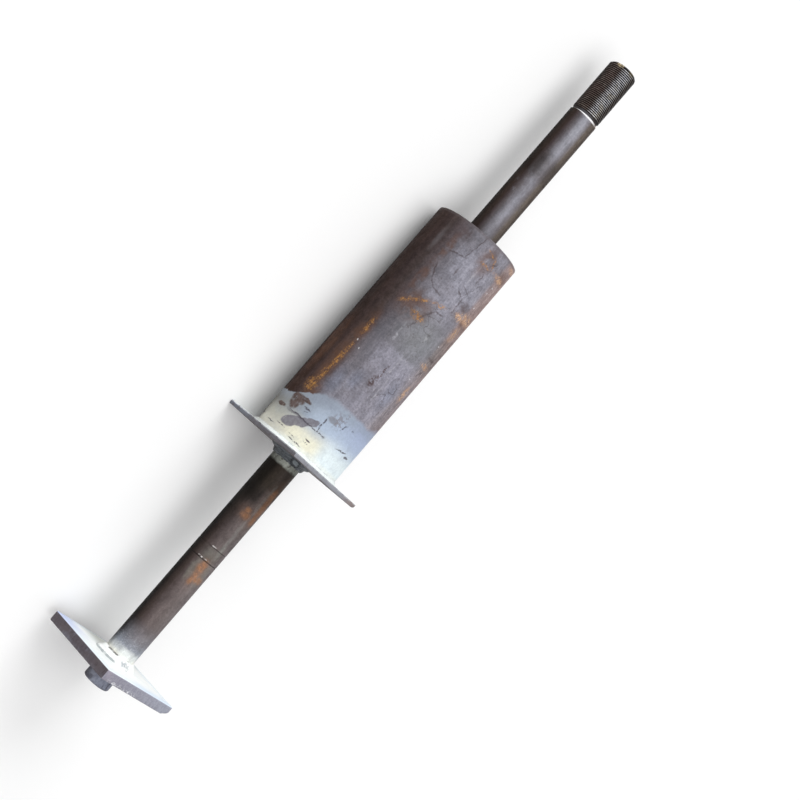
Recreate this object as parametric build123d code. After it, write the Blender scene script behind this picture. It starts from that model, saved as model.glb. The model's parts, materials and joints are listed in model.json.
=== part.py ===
from build123d import *
import os

# Anchor bolt with a sleeve, for concrete. The foot of a round rod is turned down to a shoulder and
# passes through a square anchor plate. A tube on a thinner square plate stands round the middle of the
# rod and keeps the concrete off it. The far end of the rod is threaded, behind a turned relief groove.
# Fillet welds join the rod to both plates and the tube to its plate.
# All sizes are in millimetres. Each piece is made along +X, with X = 0 at the rod's shoulder on the
# anchor plate, and the whole bolt is then laid down as it rests on a flat floor.

# Driving dimensions: rod
rod_diameter = 36.0
rod_stub_diameter = 32.0  # the turned-down foot, in the anchor plate and below it
rod_stub_length = 20.0  # how far the foot stands out below the anchor plate
rod_stub_rounding = 3.0
rod_plain_above_sleeve = 181.0  # from the tube's mouth to the relief groove
thread_length = 67.0
thread_chamfer = 2.5
relief_width = 3.0
relief_depth = 1.4
relief_chamfer = 0.8  # on the end of the plain shank, at the groove

# Driving dimensions: anchor plate
anchor_plate_side = 114.0
anchor_plate_thickness = 12.0
anchor_plate_rollover = 1.5  # rounded edge that shearing leaves on the face away from the thread
anchor_plate_corner = 1.5

# Driving dimensions: sleeve plate
sleeve_plate_gap = 285.0  # clear rod between the two plates
sleeve_plate_side = 125.0
sleeve_plate_thickness = 5.0
sleeve_plate_rollover = 0.8
sleeve_plate_corner = 1.5

# Driving dimensions: sleeve tube
sleeve_outer_diameter = 108.0
sleeve_wall = 4.0
sleeve_length = 306.0
sleeve_rim_chamfer = 0.8  # on both edges of the tube's mouth

# Driving dimensions: fits and welds
plate_hole_clearance = 0.5  # radial, between the rod and the hole of each plate
rod_weld_leg = 8.0
sleeve_weld_leg = 3.5

# Worked out from the sizes above
rod_radius = rod_diameter / 2
rod_stub_radius = rod_stub_diameter / 2
sleeve_radius = sleeve_outer_diameter / 2
sleeve_foot_x = sleeve_plate_gap + sleeve_plate_thickness
sleeve_mouth_x = sleeve_foot_x + sleeve_length
rod_start_x = -anchor_plate_thickness - rod_stub_length
relief_x = sleeve_mouth_x + rod_plain_above_sleeve
thread_x = relief_x + relief_width
rod_end_x = thread_x + thread_length


def plane_at(x):
    """Plane across the bolt at x, with its normal along +X."""
    return Plane(origin=(x, 0, 0), x_dir=(0, 1, 0), z_dir=(1, 0, 0))


def bar_along_x(radius, start_x, end_x):
    """Solid round bar on the X axis."""
    return extrude(plane_at(start_x) * Circle(radius), amount=end_x - start_x)


def edges_at(shape, x):
    """The edges of a shape that lie wholly in the plane at x."""
    return shape.edges().filter_by_position(Axis.X, x, x)


def make_rod():
    """Anchor rod: rounded foot, shoulder, plain shank, relief groove and the blank of the thread."""
    shank = chamfer(edges_at(bar_along_x(rod_radius, 0, relief_x), relief_x), relief_chamfer)
    thread = chamfer(edges_at(bar_along_x(rod_radius, thread_x, rod_end_x), rod_end_x), thread_chamfer)
    foot = bar_along_x(rod_stub_radius, rod_start_x, 0)
    foot = fillet(edges_at(foot, rod_start_x), rod_stub_rounding)
    return foot + shank + bar_along_x(rod_radius - relief_depth, relief_x, thread_x) + thread


def make_plate(side, thickness, start_x, corner, rollover, rod_in_plate):
    """Square plate with a hole for the rod. Its face at start_x has the rounded edge of a sheared blank."""
    plate = extrude(plane_at(start_x) * Rectangle(side, side), amount=thickness)
    plate = fillet(plate.edges().filter_by(Axis.X), corner)
    plate = fillet(edges_at(plate, start_x), rollover)
    return plate - bar_along_x(rod_in_plate + plate_hole_clearance, start_x, start_x + thickness)


def make_tube():
    """Sleeve tube: it stands on the sleeve plate, and its mouth towards the thread is open."""
    tube = bar_along_x(sleeve_radius, sleeve_foot_x, sleeve_mouth_x)
    tube -= bar_along_x(sleeve_radius - sleeve_wall, sleeve_foot_x, sleeve_mouth_x)
    return chamfer(edges_at(tube, sleeve_mouth_x), sleeve_rim_chamfer)


def make_bead(radius, plate_x, leg, towards):
    """Mitre fillet weld round a bar or tube of this radius, on a plate face at plate_x.

    towards is +1 where the bead climbs along +X and -1 where it climbs along -X.
    """
    root = (plate_x, radius)
    foot = (plate_x, radius + leg)
    top = (plate_x + towards * leg, radius)
    return revolve(make_face(Polyline(root, foot, top, close=True)), axis=Axis.X)


def rest_angle():
    """Degrees that the thread end dips when the bolt lies on the sleeve plate's edge and the tube's mouth."""
    drop = sleeve_plate_side / 2 - sleeve_radius
    return Vector(sleeve_length, drop, 0).get_angle(Vector(1, 0, 0))


parts = {
    "anchor_rod": make_rod(),
    "anchor_plate": make_plate(
        anchor_plate_side,
        anchor_plate_thickness,
        -anchor_plate_thickness,
        anchor_plate_corner,
        anchor_plate_rollover,
        rod_stub_radius,
    ),
    "anchor_plate_weld": make_bead(rod_radius, 0, rod_weld_leg, +1),
    "sleeve_plate": make_plate(
        sleeve_plate_side,
        sleeve_plate_thickness,
        sleeve_plate_gap,
        sleeve_plate_corner,
        sleeve_plate_rollover,
        rod_radius,
    ),
    "sleeve_plate_weld": make_bead(rod_radius, sleeve_plate_gap, rod_weld_leg, -1),
    "sleeve_tube": make_tube(),
    "sleeve_tube_weld": make_bead(sleeve_radius, sleeve_foot_x, sleeve_weld_leg, +1),
}

# Lay the bolt down, then put the middle of its underside at the origin
laid = {name: Rot(0, rest_angle(), 0) * shape for name, shape in parts.items()}
box = Compound(list(laid.values())).bounding_box()
to_floor = Pos(-box.center().X, -box.center().Y, -box.min.Z)

os.makedirs("parts", exist_ok=True)
for name, shape in laid.items():
    export_step(to_floor * shape, f"parts/{name}.step")
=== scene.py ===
import json
from math import asin, cos, pi, radians, sin

import bmesh
import bpy
from mathutils import Matrix, Vector, noise


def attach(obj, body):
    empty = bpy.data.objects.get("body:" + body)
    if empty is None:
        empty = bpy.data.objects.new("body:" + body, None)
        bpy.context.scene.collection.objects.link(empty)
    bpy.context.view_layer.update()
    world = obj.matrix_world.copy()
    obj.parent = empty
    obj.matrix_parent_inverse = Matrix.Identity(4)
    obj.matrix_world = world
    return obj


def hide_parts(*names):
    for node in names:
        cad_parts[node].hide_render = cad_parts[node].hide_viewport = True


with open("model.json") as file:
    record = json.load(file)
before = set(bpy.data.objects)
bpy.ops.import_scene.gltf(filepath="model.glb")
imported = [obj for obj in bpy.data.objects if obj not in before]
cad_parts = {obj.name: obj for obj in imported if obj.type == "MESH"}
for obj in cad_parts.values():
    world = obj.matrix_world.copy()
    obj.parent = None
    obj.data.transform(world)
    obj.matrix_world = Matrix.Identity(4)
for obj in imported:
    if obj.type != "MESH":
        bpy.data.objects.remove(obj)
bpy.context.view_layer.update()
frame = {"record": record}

# Anchor bolt with a sleeve, lying on a pale floor. Shapes are made in millimetres in the bolt's own
# frame: X runs up the rod from its shoulder on the anchor plate to the thread, and the floor is below.

# Sizes of the bolt, in millimetres, as its solids have them. The thread is as deep as a metric one of its pitch
ROD_RADIUS = 18.0
STUB_RADIUS = 16.0
STUB_END = -32.0
STUB_ROUNDING = 3.0
ANCHOR_PLATE_SIDE = 114.0
ANCHOR_PLATE_THICKNESS = 12.0
SLEEVE_PLATE_SIDE = 125.0
SLEEVE_PLATE_START = 285.0
SLEEVE_PLATE_THICKNESS = 5.0
TUBE_RADIUS = 54.0
TUBE_WALL = 4.0
TUBE_FOOT = SLEEVE_PLATE_START + SLEEVE_PLATE_THICKNESS
TUBE_MOUTH = 596.0
HOLE_CLEARANCE = 0.5
ROD_WELD_LEG = 8.0
TUBE_WELD_LEG = 3.5
RELIEF_START = 777.0
RELIEF_RADIUS = 16.6
THREAD_START = 780.0
THREAD_LENGTH = 67.0
THREAD_END = THREAD_START + THREAD_LENGTH
THREAD_CHAMFER = 2.5
THREAD_PITCH = 2.2
THREAD_DEPTH = 0.613 * THREAD_PITCH
SCRIBED_RINGS = (141.0, 157.5)
TUBE_FOOT_FINISH_END = 366.0
PLATE_CORNER = 1.5

# How far into the plate and the wall the hidden sides of a weld lie, and how close doubled points are
WELD_DEPTH_HIDDEN = 0.6
MERGE_DISTANCE = 0.002

# Rust that lies on both of the tube's finishes, so that it runs over the line between them:
# (mm along, degrees round, half length, half width, turn in degrees) of each patch
RUST_SPREAD_AT_FOOT = ((392, -38, 58, 8, 0), (352, -33, 12, 7, 0), (345, -26, 8, 6, 40))
RUST_STREAK_AT_FOOT = ((356, -41, 6, 6.5, -30), (352, -38, 4, 3, 20), (372, -37.5, 12, 2.8, 0))

# Where the bolt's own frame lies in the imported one: the thread's mount gives its axis
thread_mount = frame["record"]["mounts"][0]
rod_axis = Vector(thread_mount["axis"])
dip = asin(-rod_axis.z)
mount_along_rod = THREAD_START + (THREAD_LENGTH - THREAD_CHAMFER) / 2
shoulder = Vector(thread_mount["pos_m"]) - rod_axis * mount_along_rod / 1000
bolt_to_frame = Matrix.Translation(shoulder) @ Matrix.Rotation(dip, 4, "Y") @ Matrix.Scale(0.001, 4)

# The corner of each plate that points at the camera lies at this angle round the rod, from +Y towards +Z
NEAR_CORNER = radians(45)


def hex_colour(code):
    """Linear colour of an sRGB hex value."""
    parts = [int(code[i:i + 2], 16) / 255 for i in (1, 3, 5)]
    return [c / 12.92 if c <= 0.04045 else ((c + 0.055) / 1.055) ** 2.4 for c in parts] + [1.0]


def add(tree, kind, inputs=None, **settings):
    """Add a node with its settings. Each input, by name or number, is linked to a socket or set to a value."""
    node = tree.nodes.new(kind)
    for name, value in settings.items():
        setattr(node, name, value)
    for key, value in (inputs or {}).items():
        if isinstance(value, bpy.types.NodeSocket):
            tree.links.new(value, node.inputs[key])
        else:
            node.inputs[key].default_value = value
    return node


# Shapes

def ring(x, radius, count, turn=0.0):
    """Points of a circle round the rod's axis."""
    steps = (2 * pi * k / count + turn for k in range(count))
    return [Vector((x, radius * cos(a), radius * sin(a))) for a in steps]


def skin(name, rings, closed_tube=False):
    """Mesh over a row of rings with as many points each. A ring of radius zero closes its end."""
    count = len(rings[0])
    vertices = [p for r in rings for p in r]
    last = len(rings) if closed_tube else len(rings) - 1
    faces = []
    for i in range(last):
        a, b = i * count, (i + 1) % len(rings) * count
        faces += [(a + k, a + (k + 1) % count, b + (k + 1) % count, b + k) for k in range(count)]
    mesh = bpy.data.meshes.new(name)
    mesh.from_pydata(vertices, [], faces)
    return tidy(mesh)


def tidy(mesh):
    """Merge doubled points, drop what has no area and point every face outwards."""
    work = bmesh.new()
    work.from_mesh(mesh)
    bmesh.ops.remove_doubles(work, verts=work.verts, dist=MERGE_DISTANCE)
    bmesh.ops.dissolve_degenerate(work, edges=work.edges, dist=MERGE_DISTANCE / 2)
    bmesh.ops.recalc_face_normals(work, faces=work.faces)
    work.to_mesh(mesh)
    work.free()
    return mesh


def finish_piece(mesh, name, materials, replaced, crease=35):
    """Put a mesh made in the bolt's frame into the scene, as a piece that rides with the bolt.

    replaced is the CAD node that it stands for, and crease the angle from which an edge is sharp, in degrees.
    """
    mesh.transform(bolt_to_frame)
    for material in materials:
        if material.name not in mesh.materials:
            mesh.materials.append(material)
    mesh.shade_smooth()
    mesh.set_sharp_from_angle(angle=radians(crease))
    piece = bpy.data.objects.new(name, mesh)
    bpy.context.scene.collection.objects.link(piece)
    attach(piece, "root")
    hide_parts(replaced)


def rod_mesh():
    """Turned foot, shoulder, hot rolled shank with two scribed rings, and the relief groove's core."""
    around = 128
    corner = [(STUB_END + STUB_ROUNDING * (1 - sin(t)), STUB_RADIUS - STUB_ROUNDING * (1 - cos(t)))
              for t in (pi / 2 * (1 - k / 6) for k in range(7))]
    profile = [(STUB_END, 0.0), *corner, (0.0, STUB_RADIUS), (0.0, ROD_RADIUS)]
    # each scribed ring is a shallow groove with a burr on its upper side
    shank = [(x + d, ROD_RADIUS - deep) for x in SCRIBED_RINGS
             for d, deep in ((-0.9, 0.0), (-0.35, 0.35), (0.1, 0.35), (0.5, -0.12), (0.9, 0.0))]
    shank += [(x, ROD_RADIUS) for x in range(10, int(RELIEF_START) - 8, 8)
              if all(abs(x - r) > 4 for r in SCRIBED_RINGS)]
    profile += sorted(shank)
    profile += [(RELIEF_START - 0.8, ROD_RADIUS), (RELIEF_START, ROD_RADIUS - 0.8), (RELIEF_START, RELIEF_RADIUS)]
    profile += [(THREAD_START + 1.5, RELIEF_RADIUS), (THREAD_START + 1.5, 0.0)]
    return skin("anchor_rod_bar", [ring(x, r, around) for x, r in profile])


def plate_outline(half, corner, count):
    """Points of a rounded square about the rod's axis, as (y, z), one for each equal step of its outline."""
    straight = 2 * (half - corner)
    arc = corner * pi / 2
    total = 4 * (straight + arc)
    points = []
    for k in range(count):
        s = k * total / count
        side = int(s // (straight + arc))
        s -= side * (straight + arc)
        if s < straight:
            p = Vector((half, s - straight / 2))
        else:
            t = (s - straight) / corner
            p = Vector((half - corner + corner * cos(t), half - corner + corner * sin(t)))
        p.rotate(Matrix.Rotation(side * pi / 2, 2))
        points.append(p)
    return points


def plate_mesh(name, side, start, thickness, hole, levels, jag, rounding, seed):
    """Square plate cut on a shear. levels are (depth below the face towards the thread, inset) of its edge.

    jag is how far the torn lower edge wanders, and rounding how far one corner's lower end is knocked in.
    """
    top = start + thickness
    outline = plate_outline(side / 2, PLATE_CORNER, 360)
    rings = []
    for depth, inset in levels:
        low_part = max(0.0, depth / thickness - 0.5) * 2
        torn = jag * max(0.0, depth / thickness - 0.7) / 0.3
        loop = []
        for p in outline:
            wear = noise.noise(Vector((p.x * 0.09, p.y * 0.09, depth * 0.1 + seed))) * 0.3
            tooth = noise.noise(Vector((p.x * 0.3, p.y * 0.3, seed))) * torn
            # the lower end of the corner at the top of the back is knocked round
            knocked = max(0.0, 1 - (p - Vector((-side / 2, side / 2))).length / 9) * low_part ** 2 * rounding
            q = p * (1 - (inset + max(0.0, wear) + abs(tooth) + knocked) / (side / 2))
            loop.append(Vector((top - depth + tooth * 0.5, q.x, q.y)))
        rings.append(loop)
    # each face has a ring of points 8 mm in from its edge, and one round the bore
    inward = 1 - 8.0 / side * 2
    for x, order in ((start, 1), (top, -1)):
        loops = [[Vector((x, *(p * inward))) for p in outline],
                 [Vector((x, *(p.normalized() * hole))) for p in outline]]
        rings += loops[::order]
    return skin(name, rings, closed_tube=True)


def tube_mesh():
    """Sleeve tube: slightly out of round, with filed edges at its mouth."""
    around = 192
    inner = TUBE_RADIUS - TUBE_WALL
    middle = TUBE_FOOT_FINISH_END
    rows = [TUBE_FOOT + (middle - TUBE_FOOT) * k / 9 for k in range(9)]
    rows += [middle + (TUBE_MOUTH - 1.0 - middle) * k / 27 for k in range(28)]
    profile = [(x, TUBE_RADIUS) for x in rows]
    profile += [(TUBE_MOUTH - 0.35, TUBE_RADIUS - 0.25), (TUBE_MOUTH, TUBE_RADIUS - 0.9)]
    profile += [(TUBE_MOUTH, inner + 0.7), (TUBE_MOUTH - 0.7, inner)]
    profile += [(x, inner) for x in reversed(rows[::3])]
    rings = []
    for x, r in profile:
        loop = ring(x, r, around)
        for p in loop:
            dent = noise.noise(Vector((p.x * 0.012, p.y * 0.02, p.z * 0.02))) * 0.3
            p.yz = p.yz * (1 + min(0.0, dent) / r)
        rings.append(loop)
    return skin("sleeve_tube_rolled", rings, closed_tube=True)


def run_tree(name, tree, values):
    """Run a Geometry Nodes tree with these named inputs, and give the result as a plain mesh."""
    holder = bpy.data.objects.new(name, bpy.data.meshes.new(name))
    bpy.context.scene.collection.objects.link(holder)
    modifier = holder.modifiers.new(name, "NODES")
    modifier.node_group = tree
    for item in tree.interface.items_tree:
        if item.item_type == "SOCKET" and item.in_out == "INPUT":
            modifier[item.identifier] = values[item.name]
    depsgraph = bpy.context.evaluated_depsgraph_get()
    mesh = bpy.data.meshes.new_from_object(holder.evaluated_get(depsgraph))
    mesh.name = name
    holder.modifiers.remove(modifier)
    bpy.data.objects.remove(holder)
    return mesh


def new_tree(name, sockets):
    """Empty Geometry Nodes tree with named inputs, as a tree and its input node."""
    tree = bpy.data.node_groups.new(name, "GeometryNodeTree")
    for label, kind in sockets:
        tree.interface.new_socket(label, in_out="INPUT", socket_type="NodeSocket" + kind)
    tree.interface.new_socket("Geometry", in_out="OUTPUT", socket_type="NodeSocketGeometry")
    return tree, tree.nodes.new("NodeGroupInput").outputs


def unit_sheet(tree, rows, columns):
    """Sheet with this many points each way, and each point's place on it, from 0 to 1 both ways."""
    sheet = add(tree, "GeometryNodeMeshGrid", {
        "Size X": 1.0, "Size Y": 1.0, "Vertices X": rows, "Vertices Y": columns}).outputs[0]
    spot = add(tree, "ShaderNodeVectorMath", {
        0: add(tree, "GeometryNodeInputPosition").outputs[0], 1: (0.5, 0.5, 0.0)}, operation="ADD").outputs[0]
    return sheet, add(tree, "ShaderNodeSeparateXYZ", {0: spot}).outputs


def whole_turn(tree, part):
    """Angle at this part of a whole turn, with its cosine and its sine."""
    angle = add(tree, "ShaderNodeMath", {0: part, 1: 2 * pi}, operation="MULTIPLY").outputs[0]
    cosine = add(tree, "ShaderNodeMath", {0: angle}, operation="COSINE").outputs[0]
    sine = add(tree, "ShaderNodeMath", {0: angle}, operation="SINE").outputs[0]
    return angle, cosine, sine


def wrap_sheet(tree, sheet, x, across, upward, radius, finish):
    """Wrap a sheet round the rod's axis at these places, close its seams, and hand it out with its finish."""
    y = add(tree, "ShaderNodeMath", {0: across, 1: radius}, operation="MULTIPLY").outputs[0]
    z = add(tree, "ShaderNodeMath", {0: upward, 1: radius}, operation="MULTIPLY").outputs[0]
    placed = add(tree, "ShaderNodeCombineXYZ", {"X": x, "Y": y, "Z": z}).outputs[0]
    shaped = add(tree, "GeometryNodeSetPosition", {"Geometry": sheet, "Position": placed}).outputs[0]
    shaped = add(tree, "GeometryNodeMergeByDistance", {"Geometry": shaped, "Distance": MERGE_DISTANCE}).outputs[0]
    real = add(tree, "GeometryNodeRealizeInstances", {0: shaped}).outputs[0]
    done = add(tree, "GeometryNodeSetMaterial", {"Geometry": real, "Material": finish}).outputs[0]
    add(tree, "NodeGroupOutput", {0: done})


def thread_tree():
    """Cut thread round +X: a sheet whose rows follow the helix, drawn together at both ends.

    A point's place along the sheet is its turn of the helix, and its place across is the way round.
    """
    tree, given = new_tree("cut_thread", (
        ("Crest Radius", "Float"), ("Depth", "Float"), ("Pitch", "Float"), ("Length", "Float"), ("Chamfer", "Float"),
        ("Start", "Float"), ("Rows Per Pitch", "Int"), ("Steps Around", "Int"), ("Wear", "Float"),
        ("Finish", "Material")))
    turns = add(tree, "ShaderNodeMath", {0: given["Length"], 1: given["Pitch"]}, operation="DIVIDE").outputs[0]
    turns = add(tree, "ShaderNodeMath", {0: turns, 1: 4.0}, operation="ADD").outputs[0]
    rows = add(tree, "ShaderNodeMath", {0: turns, 1: given["Rows Per Pitch"], 2: 1.0},
               operation="MULTIPLY_ADD").outputs[0]
    sheet, spot = unit_sheet(tree, rows, given["Steps Around"])
    turn = add(tree, "ShaderNodeMath", {0: spot["X"], 1: turns}, operation="MULTIPLY").outputs[0]
    ahead = add(tree, "ShaderNodeMath", {0: turn, 1: spot["Y"]}, operation="ADD").outputs[0]
    ahead = add(tree, "ShaderNodeMath", {0: ahead, 1: 2.0}, operation="SUBTRACT").outputs[0]
    ahead = add(tree, "ShaderNodeMath", {0: ahead, 1: given["Pitch"]}, operation="MULTIPLY").outputs[0]
    along = add(tree, "ShaderNodeClamp", {"Value": ahead, "Min": 0.0, "Max": given["Length"]}).outputs[0]
    # flanks at sixty degrees, with narrow flats at crest and root
    flank = add(tree, "ShaderNodeMath", {0: turn, 1: 0.5}, operation="PINGPONG").outputs[0]
    flank = add(tree, "ShaderNodeMapRange", {0: flank, 1: 0.07, 2: 0.43}).outputs[0]
    root = add(tree, "ShaderNodeMath", {0: given["Crest Radius"], 1: given["Depth"]}, operation="SUBTRACT").outputs[0]
    radius = add(tree, "ShaderNodeMath", {0: flank, 1: given["Depth"], 2: root}, operation="MULTIPLY_ADD").outputs[0]
    # the ridge runs out into the relief, and the chamfer cuts it back at the free end
    run_out = add(tree, "ShaderNodeMath", {0: root, 1: along}, operation="ADD").outputs[0]
    inside = add(tree, "ShaderNodeMath", {0: given["Crest Radius"], 1: given["Chamfer"]},
                 operation="SUBTRACT").outputs[0]
    to_end = add(tree, "ShaderNodeMath", {0: given["Length"], 1: along}, operation="SUBTRACT").outputs[0]
    cone = add(tree, "ShaderNodeMath", {0: inside, 1: to_end}, operation="ADD").outputs[0]
    radius = add(tree, "ShaderNodeMath", {0: radius, 1: run_out}, operation="MINIMUM").outputs[0]
    radius = add(tree, "ShaderNodeMath", {0: radius, 1: cone}, operation="MINIMUM").outputs[0]
    # both ends close to a point on the axis
    start_close = add(tree, "ShaderNodeMath", {0: ahead, 1: given["Pitch"]}, operation="DIVIDE").outputs[0]
    start_close = add(tree, "ShaderNodeMath", {0: start_close, 1: 1.0}, operation="ADD").outputs[0]
    over = add(tree, "ShaderNodeMath", {0: given["Length"], 1: ahead}, operation="SUBTRACT").outputs[0]
    end_close = add(tree, "ShaderNodeMath", {0: over, 1: given["Pitch"]}, operation="DIVIDE").outputs[0]
    end_close = add(tree, "ShaderNodeMath", {0: end_close, 1: 1.0}, operation="ADD").outputs[0]
    close = add(tree, "ShaderNodeMath", {0: start_close, 1: end_close}, operation="MINIMUM").outputs[0]
    close = add(tree, "ShaderNodeClamp", {"Value": close, "Min": 0.0, "Max": 1.0}).outputs[0]
    across, upward = whole_turn(tree, spot["Y"])[1:]
    # crests are dented and worn a little, which the same place on the circle repeats at the seam
    place = add(tree, "ShaderNodeCombineXYZ", {"X": along, "Y": across, "Z": upward}).outputs[0]
    place = add(tree, "ShaderNodeVectorMath", {0: place, 1: (0.33, 6.0, 6.0)}, operation="MULTIPLY").outputs[0]
    worn = add(tree, "ShaderNodeTexNoise", {"Vector": place, "Scale": 1.0, "Detail": 2.0}).outputs[0]
    worn = add(tree, "ShaderNodeMapRange", {0: worn, 1: 0.45, 2: 0.75, 3: 0.0, 4: given["Wear"]}).outputs[0]
    worn = add(tree, "ShaderNodeMath", {0: worn, 1: flank}, operation="MULTIPLY").outputs[0]
    radius = add(tree, "ShaderNodeMath", {0: radius, 1: worn}, operation="SUBTRACT").outputs[0]
    radius = add(tree, "ShaderNodeMath", {0: radius, 1: close}, operation="MULTIPLY").outputs[0]
    x = add(tree, "ShaderNodeMath", {0: along, 1: given["Start"]}, operation="ADD").outputs[0]
    wrap_sheet(tree, sheet, x, across, upward, radius, given["Finish"])
    return tree


def bead_tree():
    """Fillet weld laid in rippled steps in a corner between a plate's face and a round wall."""
    tree, given = new_tree("weld_bead", (
        ("Corner Radius", "Float"), ("Face", "Float"), ("Side", "Float"), ("Leg", "Float"), ("Fullness", "Float"),
        ("Ripples", "Float"), ("Ripple Height", "Float"), ("Lump Height", "Float"), ("Lump Size", "Float"),
        ("Steps Around", "Int"), ("Seed", "Float"), ("Finish", "Material")))
    # each step round the rod has a closed section of 32 points, the first of them met again as the last
    sheet, spot = unit_sheet(tree, given["Steps Around"], 33)
    across, upward = whole_turn(tree, spot["X"])[1:]
    section, out, rise = whole_turn(tree, spot["Y"])
    # the face bulges more or less between its two toes
    twice = add(tree, "ShaderNodeMath", {0: section, 1: 2.0}, operation="MULTIPLY").outputs[0]
    toe = add(tree, "ShaderNodeMath", {0: twice}, operation="COSINE").outputs[0]
    toe = add(tree, "ShaderNodeMath", {0: toe, 1: 2.0}, operation="POWER").outputs[0]
    hollow = add(tree, "ShaderNodeMath", {0: 1.0, 1: given["Fullness"]}, operation="SUBTRACT").outputs[0]
    face = add(tree, "ShaderNodeMath", {0: toe, 1: hollow, 2: given["Fullness"]}, operation="MULTIPLY_ADD").outputs[0]
    face = add(tree, "ShaderNodeMath", {0: face, 1: given["Leg"]}, operation="MULTIPLY").outputs[0]
    # each step of the arc leaves a crescent
    crescent = add(tree, "ShaderNodeMath", {0: rise, 1: 0.7}, operation="MULTIPLY").outputs[0]
    step = add(tree, "ShaderNodeMath", {0: spot["X"], 1: given["Ripples"], 2: crescent},
               operation="MULTIPLY_ADD").outputs[0]
    step = add(tree, "ShaderNodeMath", {0: step, 1: pi}, operation="MULTIPLY").outputs[0]
    step = add(tree, "ShaderNodeMath", {0: step}, operation="SINE").outputs[0]
    step = add(tree, "ShaderNodeMath", {0: step}, operation="ABSOLUTE").outputs[0]
    circle = add(tree, "ShaderNodeCombineXYZ", {"X": section, "Y": across, "Z": upward}).outputs[0]
    far = add(tree, "ShaderNodeMath", {0: given["Corner Radius"], 1: given["Lump Size"]}, operation="DIVIDE").outputs[0]
    circle = add(tree, "ShaderNodeVectorMath", {0: circle, "Scale": far}, operation="SCALE").outputs[0]
    circle = add(tree, "ShaderNodeVectorMath", {0: circle, 1: (0.12, 1.0, 1.0)}, operation="MULTIPLY").outputs[0]
    lump = add(tree, "ShaderNodeTexNoise", {"Vector": circle, "W": given["Seed"], "Scale": 1.0, "Detail": 2.0},
               noise_dimensions="4D").outputs[0]
    lump = add(tree, "ShaderNodeMath", {0: lump, 1: 0.5}, operation="SUBTRACT").outputs[0]
    lump = add(tree, "ShaderNodeMath", {0: lump, 1: given["Lump Height"]}, operation="MULTIPLY").outputs[0]
    face = add(tree, "ShaderNodeMath", {0: step, 1: given["Ripple Height"], 2: face},
               operation="MULTIPLY_ADD").outputs[0]
    face = add(tree, "ShaderNodeMath", {0: face, 1: lump}, operation="ADD").outputs[0]
    # the buried sides stay flat, just inside the plate and the wall
    out = add(tree, "ShaderNodeMath", {0: out, 1: face}, operation="MULTIPLY").outputs[0]
    out = add(tree, "ShaderNodeMath", {0: out, 1: -WELD_DEPTH_HIDDEN}, operation="MAXIMUM").outputs[0]
    radius = add(tree, "ShaderNodeMath", {0: out, 1: given["Corner Radius"]}, operation="ADD").outputs[0]
    rise = add(tree, "ShaderNodeMath", {0: rise, 1: face}, operation="MULTIPLY").outputs[0]
    rise = add(tree, "ShaderNodeMath", {0: rise, 1: -WELD_DEPTH_HIDDEN}, operation="MAXIMUM").outputs[0]
    x = add(tree, "ShaderNodeMath", {0: rise, 1: given["Side"], 2: given["Face"]}, operation="MULTIPLY_ADD").outputs[0]
    wrap_sheet(tree, sheet, x, across, upward, radius, given["Finish"])
    return tree


# Materials

def new_material(name):
    """Material with an empty tree, as the material and its tree."""
    material = bpy.data.materials.new(name)
    material.use_nodes = True
    material.node_tree.nodes.clear()
    return material, material.node_tree


def bolt_position(tree):
    """Where a point lies in the bolt's own frame, in millimetres."""
    place = add(tree, "ShaderNodeTexCoord").outputs["Object"]
    return add(tree, "ShaderNodeMapping", {
        "Vector": place, "Location": shoulder, "Rotation": (0.0, dip, 0.0), "Scale": (0.001, 0.001, 0.001)},
        vector_type="TEXTURE").outputs[0]


def round_place(tree, radius, ragged):
    """Where a point lies in the bolt's own frame, and the outputs of the unrolled surface of this radius."""
    position = bolt_position(tree)
    return position, add(tree, "ShaderNodeGroup", node_tree=unrolled, inputs={
        "Position": position, "Radius": radius, "Ragged": ragged}).outputs


def distance_from_axis(tree, position):
    """How far a point is from the rod's axis."""
    across = add(tree, "ShaderNodeVectorMath", {0: position, 1: (0.0, 1.0, 1.0)}, operation="MULTIPLY").outputs[0]
    return add(tree, "ShaderNodeVectorMath", {0: across}, operation="LENGTH").outputs["Value"]


def plate_sides(tree):
    """Way a plate's surface faces, with masks of the edge that faces up and of the back."""
    normal = add(tree, "ShaderNodeTexCoord").outputs["Normal"]
    facing = add(tree, "ShaderNodeSeparateXYZ", {0: normal}).outputs
    top = add(tree, "ShaderNodeMapRange", {0: facing["Z"], 1: 0.4, 2: 0.75}).outputs[0]
    back = add(tree, "ShaderNodeMapRange", {0: facing["X"], 1: -0.5, 2: -0.8}).outputs[0]
    return facing, top, back


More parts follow.
